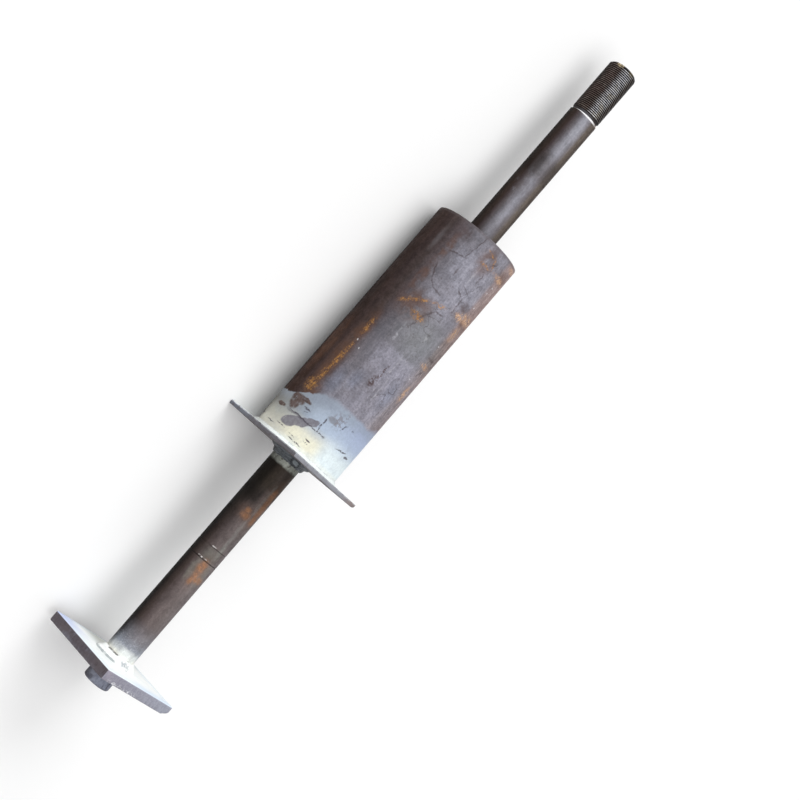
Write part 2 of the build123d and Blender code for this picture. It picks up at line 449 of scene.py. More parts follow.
def unrolled_group():
    """Round surface laid flat: millimetres along, millimetres round from the line that faces the camera.

    Along and Degrees are exact. The sheet's places are shaken by Ragged, so that what is drawn on it has ragged edges.
    """
    tree = bpy.data.node_groups.new("unrolled_round", "ShaderNodeTree")
    for label, kind in (("Position", "Vector"), ("Radius", "Float"), ("Ragged", "Float")):
        tree.interface.new_socket(label, in_out="INPUT", socket_type="NodeSocket" + kind)
    for label, kind in (("Sheet", "Vector"), ("Along", "Float"), ("Degrees", "Float")):
        tree.interface.new_socket(label, in_out="OUTPUT", socket_type="NodeSocket" + kind)
    given = tree.nodes.new("NodeGroupInput").outputs
    turned = add(tree, "ShaderNodeVectorRotate", {"Vector": given["Position"], "Angle": -NEAR_CORNER},
                 rotation_type="X_AXIS").outputs[0]
    part = add(tree, "ShaderNodeSeparateXYZ", {0: turned}).outputs
    angle = add(tree, "ShaderNodeMath", {0: part["Z"], 1: part["Y"]}, operation="ARCTAN2").outputs[0]
    degrees_round = add(tree, "ShaderNodeMath", {0: angle}, operation="DEGREES").outputs[0]
    arc = add(tree, "ShaderNodeMath", {0: angle, 1: given["Radius"]}, operation="MULTIPLY").outputs[0]
    flat = add(tree, "ShaderNodeCombineXYZ", {"X": part["X"], "Y": arc}).outputs[0]
    rough = add(tree, "ShaderNodeTexNoise", {"Vector": given["Position"], "Scale": 0.16, "Detail": 5.0}).outputs[1]
    rough = add(tree, "ShaderNodeVectorMath", {0: rough, 1: (0.5, 0.5, 0.5)}, operation="SUBTRACT").outputs[0]
    rough = add(tree, "ShaderNodeVectorMath", {0: rough, "Scale": given["Ragged"]}, operation="SCALE").outputs[0]
    flat = add(tree, "ShaderNodeVectorMath", {0: flat, 1: rough}, operation="ADD").outputs[0]
    flat = add(tree, "ShaderNodeVectorMath", {0: flat, 1: (1.0, 1.0, 0.0)}, operation="MULTIPLY").outputs[0]
    add(tree, "NodeGroupOutput", {"Sheet": flat, "Along": part["X"], "Degrees": degrees_round})
    return tree


def patch_group():
    """Mask of one worn patch on a flat sheet: an oval with a soft edge."""
    tree = bpy.data.node_groups.new("worn_patch", "ShaderNodeTree")
    for label, kind in (("Sheet", "Vector"), ("Centre", "Vector"), ("Half Size", "Vector"), ("Turn", "Float"),
                        ("Soft", "Float")):
        tree.interface.new_socket(label, in_out="INPUT", socket_type="NodeSocket" + kind)
    tree.interface.new_socket("Mask", in_out="OUTPUT", socket_type="NodeSocketFloat")
    given = tree.nodes.new("NodeGroupInput").outputs
    own = add(tree, "ShaderNodeVectorMath", {0: given["Sheet"], 1: given["Centre"]}, operation="SUBTRACT").outputs[0]
    own = add(tree, "ShaderNodeVectorRotate", {"Vector": own, "Angle": given["Turn"]}, rotation_type="Z_AXIS",
              invert=True).outputs[0]
    own = add(tree, "ShaderNodeVectorMath", {0: own, 1: given["Half Size"]}, operation="DIVIDE").outputs[0]
    reach = add(tree, "ShaderNodeVectorMath", {0: own}, operation="LENGTH").outputs["Value"]
    inner = add(tree, "ShaderNodeMath", {0: 1.0, 1: given["Soft"]}, operation="SUBTRACT").outputs[0]
    outer = add(tree, "ShaderNodeMath", {0: 1.0, 1: given["Soft"]}, operation="ADD").outputs[0]
    mask = add(tree, "ShaderNodeMapRange", {0: reach, 1: inner, 2: outer, 3: 1.0, 4: 0.0},
               interpolation_type="SMOOTHSTEP").outputs[0]
    add(tree, "NodeGroupOutput", {"Mask": mask})
    return tree


def patches(tree, sheet, radius, soft, places):
    """One mask for a list of patches, each (mm along, degrees round, half length, half width, turn in degrees)."""
    whole = None
    for along, degrees_round, half_length, half_width, turn in places:
        one = add(tree, "ShaderNodeGroup", node_tree=patch, inputs={
            "Sheet": sheet, "Centre": (along, radians(degrees_round) * radius, 0.0),
            "Half Size": (half_length, half_width, 1.0), "Turn": radians(turn), "Soft": soft}).outputs[0]
        if whole is None:
            whole = one
        else:
            whole = add(tree, "ShaderNodeMath", {0: whole, 1: one}, operation="MAXIMUM").outputs[0]
    return whole


def colour_round(tree, degrees_round, stops):
    """Colour by the angle round the bolt, from stops of (degrees, colour). Minus is the lower side. Each use here
    paints light and shade round the bolt into the colour.
    """
    turn = add(tree, "ShaderNodeMapRange", {0: degrees_round, 1: -180.0, 2: 180.0}).outputs[0]
    ramp = add(tree, "ShaderNodeValToRGB", {0: turn})
    points = ramp.color_ramp.elements
    points.remove(points[1])
    points[0].position = (stops[0][0] + 180) / 360
    points[0].color = hex_colour(stops[0][1])
    for angle, colour in stops[1:]:
        points.new((angle + 180) / 360).color = hex_colour(colour)
    return ramp.outputs[0]


def coats(tree, colour, layers):
    """Colour built up in coats, each (mask, how much of it covers, colour)."""
    for mask, cover, paint in layers:
        mask = add(tree, "ShaderNodeMath", {0: mask, 1: cover}, operation="MULTIPLY").outputs[0]
        colour = add(tree, "ShaderNodeMix", {0: mask, 6: colour, 7: hex_colour(paint)}, data_type="RGBA").outputs[2]
    return colour


def product(tree, *masks):
    """Where all the masks hold."""
    whole = masks[0]
    for mask in masks[1:]:
        whole = add(tree, "ShaderNodeMath", {0: whole, 1: mask}, operation="MULTIPLY").outputs[0]
    return whole


def between(tree, value, low, high, soft):
    """Mask of where a value lies between two bounds, with edges this soft."""
    rise = add(tree, "ShaderNodeMapRange", {0: value, 1: low - soft, 2: low + soft}, interpolation_type="SMOOTHSTEP")
    fall = add(tree, "ShaderNodeMapRange", {0: value, 1: high - soft, 2: high + soft, 3: 1.0, 4: 0.0},
               interpolation_type="SMOOTHSTEP")
    return product(tree, rise.outputs[0], fall.outputs[0])


def window(tree, along, turn, length, arc):
    """Mask of a stretch along the bolt and round it, each given as (from, to, how soft its edges are)."""
    return product(tree, between(tree, along, *length), between(tree, turn, *arc))


def mottle(tree, position, size, low, high, detail=4.0, stretch=(1.0, 1.0, 1.0)):
    """Mask of irregular spots of about this size in millimetres, more or less of it by the two bounds."""
    position = add(tree, "ShaderNodeVectorMath", {0: position, 1: stretch}, operation="MULTIPLY").outputs[0]
    cloud = add(tree, "ShaderNodeTexNoise", {"Vector": position, "Scale": 1 / size, "Detail": detail, "Roughness": 0.6})
    return add(tree, "ShaderNodeMapRange", {0: cloud.outputs[0], 1: low, 2: high},
               interpolation_type="SMOOTHSTEP").outputs[0]


def grain(tree, colour, mask, low, high):
    """Colour made darker or lighter from place to place, by a factor between these two."""
    factor = add(tree, "ShaderNodeMapRange", {0: mask, 3: low, 4: high}).outputs[0]
    return add(tree, "ShaderNodeVectorMath", {0: colour, "Scale": factor}, operation="SCALE").outputs[0]


def crack_lines(tree, position, size, width):
    """Thin wandering lines, where a slow noise crosses its middle value."""
    cloud = add(tree, "ShaderNodeTexNoise", {"Vector": position, "Scale": 1 / size, "Detail": 2.5, "Roughness": 0.5})
    off = add(tree, "ShaderNodeMath", {0: cloud.outputs[0], 1: 0.5}, operation="SUBTRACT").outputs[0]
    off = add(tree, "ShaderNodeMath", {0: off}, operation="ABSOLUTE").outputs[0]
    return add(tree, "ShaderNodeMapRange", {0: off, 1: width * 0.4, 2: width, 3: 1.0, 4: 0.0},
               interpolation_type="SMOOTHSTEP").outputs[0]


def steel_shader(tree, colour, shine, height, relief, metallic, specular):
    """Surface of this colour with a relief in millimetres.

    shine is a mask with the roughness outside it and inside it, and height the map that the relief follows.
    """
    mask, outside, inside = shine
    roughness = add(tree, "ShaderNodeMapRange", {0: mask, 3: outside, 4: inside}).outputs[0]
    bump = add(tree, "ShaderNodeBump", {"Strength": 1.0, "Distance": relief / 1000, "Height": height}).outputs[0]
    shader = add(tree, "ShaderNodeBsdfPrincipled", {
        "Base Color": colour, "Roughness": roughness, "Normal": bump, "Metallic": metallic,
        "Specular IOR Level": specular})
    add(tree, "ShaderNodeOutputMaterial", {0: shader.outputs[0]})


def scale_colour(tree, position, flat):
    """Blue-grey mill scale of the tube, browner below and pinkish on top, as it is on both its finishes, with painted
    shade near black on the lower side and a painted highlight on the side towards the light.
    """
    along, turn, sheet = flat["Along"], flat["Degrees"], flat["Sheet"]
    # colour round the tube: near black below as painted shade, lightest from the front up to the top as a painted
    # highlight
    colour = colour_round(tree, turn, (
        (-180, "#221c1a"), (-130, "#110d0b"), (-84, "#1d1210"), (-72, "#36241e"), (-60, "#36261f"), (-50, "#413433"),
        (-38, "#534846"), (-28, "#655c5f"), (-16, "#757177"), (-4, "#84828c"), (20, "#94929e"), (40, "#9b99a5"),
        (50, "#9a959d"), (60, "#958a8d"), (85, "#937d7a"), (120, "#75635f"), (150, "#4a3d3b")))
    uneven = add(tree, "ShaderNodeSeparateXYZ", {0: sheet}).outputs
    around = add(tree, "ShaderNodeMath", {0: uneven["Y"], 1: 180 / pi / TUBE_RADIUS}, operation="MULTIPLY").outputs[0]
    upper = between(tree, around, 51.0, 130.0, 3.5)
    front = between(tree, turn, -20.0, 50.0, 12.0)
    lower = between(tree, turn, -90.0, -24.0, 10.0)
    broken = mottle(tree, position, 4.0, 0.4, 0.6, 4.0)
    clouds = mottle(tree, position, 34.0, 0.38, 0.66)
    colour = coats(tree, colour, (
        (product(tree, between(tree, uneven["X"], 440.0, 600.0, 3.0), front), 0.5, "#66656a"),
        (product(tree, between(tree, along, 503.0, 575.0, 12.0), front), 0.5, "#9b9aa6"),
        # the lower side darkened further, as painted shade
        (product(tree, between(tree, along, 440.0, 600.0, 14.0), lower), 0.4, "#2b2425"),
        (window(tree, along, turn, (455.0, 610.0, 16.0), (-30.0, -9.0, 7.0)), 0.42, "#4b4448"),
        (product(tree, between(tree, along, 440.0, 500.0, 8.0), upper), 0.4, "#746a66"),
        (product(tree, upper, between(tree, along, 480.0, 620.0, 16.0)), 0.5, "#a08781"),
        (product(tree, upper, between(tree, along, 355.0, 430.0, 20.0)), 0.45, "#817e86"),
        (patches(tree, sheet, TUBE_RADIUS, 0.8, ((375, -20, 18, 8, 0), (389, -4, 10, 7, 0), (400, 42, 18, 8, 0))),
         0.32, "#76829a"),
        (product(tree, clouds, front), 0.36, "#706b70"),
        (product(tree, clouds, lower), 0.3, "#453530"),
        (product(tree, patches(tree, sheet, TUBE_RADIUS, 0.8, ((393, 21, 27, 1.2, 0), (380, 29, 16, 1.0, 0))), broken),
         0.4, "#a9a6ae"),
        (product(tree, upper, mottle(tree, position, 1.8, 0.52, 0.66, 4.0, (0.05, 1.0, 1.0))), 0.35, "#c3b4af"),
    ))
    colour = grain(tree, colour, mottle(tree, position, 9.0, 0.36, 0.68, 6.0), 1.06, 0.8)
    colour = grain(tree, colour, mottle(tree, position, 4.0, 0.4, 0.68, 5.0, (0.07, 1.0, 1.0)), 0.93, 1.12)
    return grain(tree, colour, mottle(tree, position, 2.2, 0.34, 0.7, 4.0), 0.84, 1.14)


def rusted(tree, colour, position, sheet, spread, bright):
    """Colour with rust over it: a brown stain spread round bright orange streaks."""
    spread = patches(tree, sheet, TUBE_RADIUS, 0.6, spread)
    bright = patches(tree, sheet, TUBE_RADIUS, 0.75, bright)
    return coats(tree, colour, (
        (product(tree, spread, mottle(tree, position, 12.0, 0.28, 0.6, 5.0)), 0.62, "#5e4335"),
        (product(tree, bright, mottle(tree, position, 3.4, 0.4, 0.66, 5.0)), 0.85, "#966a3c"),
        (product(tree, bright, mottle(tree, position, 1.9, 0.5, 0.64, 3.0)), 0.75, "#b9884b"),
    ))


def tube_body_material():
    """Hot rolled tube under blue-grey mill scale that has cracked and flaked, with streaks of rust.

    Cycles' stack for one shader is nearly full here, and a few more patches turn the tube black.
    """
    material, tree = new_material("cracked_mill_scale")
    position, flat = round_place(tree, TUBE_RADIUS, 5.0)
    sheet = flat["Sheet"]
    front = between(tree, flat["Degrees"], -20.0, 50.0, 9.0)
    pits = mottle(tree, position, 3.4, 0.6, 0.7, 3.0)
    colour = coats(tree, scale_colour(tree, position, flat), (
        (product(tree, mottle(tree, position, 4.0, 0.4, 0.6, 4.0), patches(tree, sheet, TUBE_RADIUS, 0.8, (
            (425, 21, 16, 0.9, 0), (395, 26, 15, 0.9, 0), (473, 28, 6, 1.8, 0), (455, -1, 11, 1.2, 0),
            (560, 22, 16, 0.9, 0)))), 0.5, "#b3b2b8"),
        (patches(tree, sheet, TUBE_RADIUS, 0.8, ((465, 26, 24, 24, 0),)), 0.34, "#767b78"),
        (patches(tree, sheet, TUBE_RADIUS, 0.8, ((435, -19, 30, 8, 0),)), 0.35, "#565760"),
        (patches(tree, sheet, TUBE_RADIUS, 0.9, ((562, -40, 13, 3.0, 0),)), 0.3, "#7a777c"),
    ))
    colour = rusted(tree, colour, position, sheet, RUST_SPREAD_AT_FOOT + (
        (404, -66, 36, 9, 0), (490, -8, 18, 16, 50), (440, -34, 20, 6, 0), (575, 24, 17, 10, 0), (515, 58, 9, 22, 0),
        (520, -24, 24, 5, 0), (560, -22, 18, 4, 0), (575, 58, 7, 16, 0)), RUST_STREAK_AT_FOOT + (
        (394, -35, 17, 2.6, 3), (416, -33.5, 8, 1.8, 0), (442, -33, 9, 2.8, 0), (488, -20, 8, 2.0, 50),
        (495, -11, 7, 1.8, 52), (500, -2, 4, 1.8, 60), (481, 4, 3.4, 7.5, 0), (484, -2, 2.4, 4, 0),
        (506, 14, 7.5, 2.0, 75), (571, 25, 1.4, 6, 0), (585, 22, 1.3, 4.5, 20), (578, 33, 6, 1.4, -25)))
    pale_rust = patches(tree, sheet, TUBE_RADIUS, 0.7, (
        (412, 62, 9, 4.5, 0), (448.5, 58, 2.6, 8.5, 0), (496, 60, 8, 5, 0), (512, 46, 3.6, 7, 0), (516, 62, 5.0, 15, 0),
        (572, 57, 3.0, 12, 0), (590, 70, 3, 9, 0)))
    cracked = patches(tree, sheet, TUBE_RADIUS, 0.5, (
        (487, 14, 22, 18, 0), (548, 30, 34, 9, 0), (455, 62, 26, 10, 0), (402, 40, 26, 8, 0)))
    # longer cracks: one by the slanting rust, one up to the mouth, one hooked, and short ones
    split = patches(tree, sheet, TUBE_RADIUS, 0.5, (
        (532, -16.5, 9.2, 0.9, -22), (520.5, -9, 6.0, 0.9, -47), (516, 0.5, 5.8, 0.8, -80), (560.5, -9, 9.4, 1.0, 74),
        (569, 1.5, 7.0, 0.9, 14), (584, 4.5, 10, 0.8, 9), (480, 6.5, 10.8, 1.3, 13), (494, 12, 5.6, 1.1, 35),
        (499.5, 20, 5.4, 1.0, 85), (519, 31, 11, 0.7, 0), (556, 31, 7, 0.7, 0), (531, 23, 4.6, 0.8, -60),
        (578, 34.5, 4.6, 0.9, 48), (546, 3, 5.5, 0.9, 0)))
    scab = patches(tree, sheet, TUBE_RADIUS, 0.45, ((399, 12.5, 7, 4, 0), (413, 15.5, 10, 1.5, 3)))
    blot = patches(tree, sheet, TUBE_RADIUS, 0.6, ((524, 42, 5, 7, 0), (459, 61, 1.6, 9, 0), (583, -19, 8, 9, 0)))
    colour = coats(tree, colour, (
        (product(tree, pale_rust, mottle(tree, position, 3.4, 0.38, 0.58, 5.0, (0.6, 1.0, 1.0))), 0.85, "#b39078"),
        (product(tree, pale_rust, mottle(tree, position, 1.8, 0.5, 0.62, 4.0, (0.8, 1.0, 1.0))), 0.75, "#ddb999"),
        (product(tree, cracked, crack_lines(tree, position, 24.0, 0.010)), 0.5, "#453e40"),
        (product(tree, split, mottle(tree, position, 4.0, 0.3, 0.5, 2.0)), 0.62, "#453a3b"),
        (product(tree, scab, mottle(tree, position, 2.6, 0.4, 0.56, 3.0)), 0.8, "#4a3836"),
        (product(tree, blot, mottle(tree, position, 6.0, 0.25, 0.6, 4.0)), 0.7, "#544849"),
        (product(tree, pits, front), 0.4, "#57504f"),
        (patches(tree, sheet, TUBE_RADIUS, 0.5, (
            (423, -32, 0.8, 0.8, 0), (416, -24, 1.1, 0.6, 0), (532, 55, 0.9, 1.2, 0), (553, 55, 0.8, 1.1, 0),
            (475, 52, 0.8, 1.6, 0), (428, 50, 0.8, 1.1, 0), (561, 57, 0.8, 1.0, 0))), 0.65, "#d5d5da"),
        (between(tree, flat["Along"], 593.0, 600.0, 1.4), 0.45, "#5b5354"),
    ))
    # paler shoulder towards the light as a painted highlight, a darker stretch above it, and a darker stretch below it
    # as painted shade
    for length, arc, factor in (
            ((440.0, 600.0, 9.0), (4.0, 44.0, 9.0), 1.13), ((446.0, 506.0, 9.0), (54.0, 100.0, 8.0), 0.86),
            ((436.0, 502.0, 9.0), (-120.0, -58.0, 9.0), 0.74)):
        colour = grain(tree, colour, window(tree, flat["Along"], flat["Degrees"], length, arc), 1.0, factor)
    spots = mottle(tree, position, 9.0, 0.44, 0.66, 6.0)
    height = add(tree, "ShaderNodeMath", {0: pits, 1: -1.4, 2: mottle(tree, position, 2.6, 0.4, 0.68, 5.0)},
                 operation="MULTIPLY_ADD").outputs[0]
    steel_shader(tree, colour, (spots, 0.5, 0.66), height, relief=0.12, metallic=0.0, specular=0.04)
    return material


def tube_foot_material():
    """The tube's foot: zinc over the scale, pale with burnt stains, up to a sharp slanting edge."""
    material, tree = new_material("zinc_on_mill_scale")
    position, flat = round_place(tree, TUBE_RADIUS, 5.0)
    along, turn, sheet = flat["Along"], flat["Degrees"], flat["Sheet"]
    scale = rusted(tree, scale_colour(tree, position, flat), position, sheet, RUST_SPREAD_AT_FOOT, RUST_STREAK_AT_FOOT)
    # the edge slants from x 336 below to x 356 in front
    edge = add(tree, "ShaderNodeMapRange", {0: turn, 1: -66.0, 2: -2.0, 3: 336.0, 4: 356.5},
               interpolation_type="SMOOTHSTEP").outputs[0]
    wander = add(tree, "ShaderNodeTexNoise", {"Vector": position, "Scale": 0.12, "Detail": 4.0}).outputs[0]
    wander = add(tree, "ShaderNodeMath", {0: wander, 1: 7.0, 2: -3.5}, operation="MULTIPLY_ADD").outputs[0]
    edge = add(tree, "ShaderNodeMath", {0: edge, 1: wander}, operation="ADD").outputs[0]
    inside = add(tree, "ShaderNodeMath", {0: edge, 1: along}, operation="SUBTRACT").outputs[0]
    # in front the zinc thins out over some millimetres, and on top over more
    thin = add(tree, "ShaderNodeMapRange", {0: turn, 1: -32.0, 2: -18.0, 3: -0.5, 4: -5.0}).outputs[0]
    thin_top = add(tree, "ShaderNodeMapRange", {0: turn, 1: 52.0, 2: 74.0, 3: 0.0, 4: -7.0}).outputs[0]
    thin = add(tree, "ShaderNodeMath", {0: thin, 1: thin_top}, operation="ADD").outputs[0]
    dipped = add(tree, "ShaderNodeMapRange", {0: inside, 1: thin, 2: 0.9}, interpolation_type="SMOOTHSTEP").outputs[0]
    # zinc round the tube: darker and greyer below as painted shade, lighter and bluer on top as painted light
    zinc = colour_round(tree, turn, (
        (-180, "#6f6c64"), (-120, "#4d4a42"), (-86, "#66645c"), (-68, "#7c7c7b"), (-50, "#8b8d8d"), (-34, "#8f949a"),
        (-20, "#919aa7"), (-8, "#969fad"), (15, "#9ba6b8"), (45, "#a0abc4"), (75, "#abb6d2"), (110, "#a9b0bd"),
        (150, "#85878c")))
    stain = patches(tree, sheet, TUBE_RADIUS, 0.13, (
        (311.2, -30, 10.5, 6.0, 68), (316.6, -20, 12, 5.4, 62), (323.4, -9, 10, 4.3, 56)))
    burnt = patches(tree, sheet, TUBE_RADIUS, 0.22, (
        (331.5, -41, 8.4, 7.4, 0), (336, -44, 4.8, 6.4, 0), (335.5, -36, 4.4, 6.5, 30), (338.5, -31, 2.6, 7.5, 0),
        (320.3, -56, 2.5, 7.5, 0)))
    scratched = patches(tree, sheet, TUBE_RADIUS, 0.3, (
        (320.8, -17, 0.8, 24, 2), (320.5, 6, 0.9, 6.5, 0), (322, 42, 0.9, 9, -12), (320.5, 56, 1.6, 4.5, 0),
        (329, -21, 0.7, 2.4, 0), (332.3, -22, 0.9, 4.2, 0), (303.5, 1, 0.8, 3.4, 0), (307, 1.5, 0.9, 3.4, 0),
        (299, -51, 0.7, 7, 4), (302, -36, 0.7, 7, 2), (297, -10, 0.7, 9, 0), (302, -80, 1.4, 5, 0),
        (330, 2, 10, 0.8, 0), (301, -17, 0.6, 4, 0), (346, 36, 1.2, 1.6, 0), (342, 24, 5, 0.8, 30)))
    speckled = patches(tree, sheet, TUBE_RADIUS, 0.5, ((344, 14, 8, 8, 0), (352, 20, 5, 3, 0)))
    zinc = coats(tree, zinc, (
        (window(tree, along, turn, (280.0, 340.0, 14.0), (-14.0, 120.0, 10.0)), 0.5, "#b9c8dc"),
        (window(tree, along, turn, (280.0, 316.0, 10.0), (-75.0, -24.0, 12.0)), 0.8, "#bdbcb0"),
        (window(tree, along, turn, (280.0, 318.0, 10.0), (-34.0, 26.0, 12.0)), 0.85, "#dad7c4"),
        (window(tree, along, turn, (280.0, 310.0, 6.0), (-24.0, 18.0, 9.0)), 0.55, "#ebe7cf"),
        (window(tree, along, turn, (280.0, 321.0, 13.0), (20.0, 130.0, 12.0)), 0.9, "#e6f1f3"),
        (window(tree, along, turn, (280.0, 297.0, 3.0), (-34.0, 140.0, 16.0)), 0.7, "#e6e9e3"),
        (between(tree, inside, -8.0, 7.0, 5.0), 0.5, "#8f97a4"),
        (window(tree, inside, turn, (-8.0, 10.0, 5.0), (-34.0, 0.0, 8.0)), 0.5, "#838a98"),
        (window(tree, along, turn, (280.0, 303.0, 4.0), (-76.0, -30.0, 10.0)), 0.6, "#d2cfc2"),
        (mottle(tree, position, 11.0, 0.46, 0.7, 5.0), 0.22, "#939ca6"),
        (product(tree, stain, mottle(tree, position, 5.0, 0.15, 0.42, 3.0)), 0.92, "#7a7880"),
        (product(tree, stain, mottle(tree, position, 4.0, 0.4, 0.66, 4.0)), 0.5, "#68656c"),
        (product(tree, burnt, mottle(tree, position, 5.0, 0.2, 0.5, 4.0)), 0.92, "#5d4d49"),
        (product(tree, burnt, mottle(tree, position, 4.0, 0.42, 0.62, 4.0)), 0.6, "#453833"),
        (product(tree, scratched, mottle(tree, position, 2.4, 0.36, 0.5, 2.0)), 0.85, "#4c4850"),
        (patches(tree, sheet, TUBE_RADIUS, 0.5, (
            (320.2, -30, 1.1, 13, 0), (331.8, -22, 1.0, 3.8, 0), (306.8, 1.6, 0.9, 3.0, 0), (320.4, 12, 1.4, 1.8, 0))),
         0.5, "#4a454d"),
        (patches(tree, sheet, TUBE_RADIUS, 0.3, ((340.6, 9, 3.6, 5.6, 0),)), 0.75, "#7c7d84"),
        (product(tree, speckled, mottle(tree, position, 3.0, 0.48, 0.56, 3.0)), 0.75, "#7f7d84"),
    ))
    zinc = grain(tree, zinc, mottle(tree, position, 2.4, 0.34, 0.7, 4.0), 0.94, 1.05)
    colour = add(tree, "ShaderNodeMix", {0: dipped, 6: scale, 7: zinc}, data_type="RGBA").outputs[2]
    spots = mottle(tree, position, 9.0, 0.44, 0.66, 6.0)
    height = add(tree, "ShaderNodeMath", {0: dipped, 1: 1.4, 2: mottle(tree, position, 2.6, 0.4, 0.68, 5.0)},
                 operation="MULTIPLY_ADD").outputs[0]
    steel_shader(tree, colour, (spots, 0.5, 0.66), height, relief=0.12, metallic=0.0, specular=0.04)
    return material


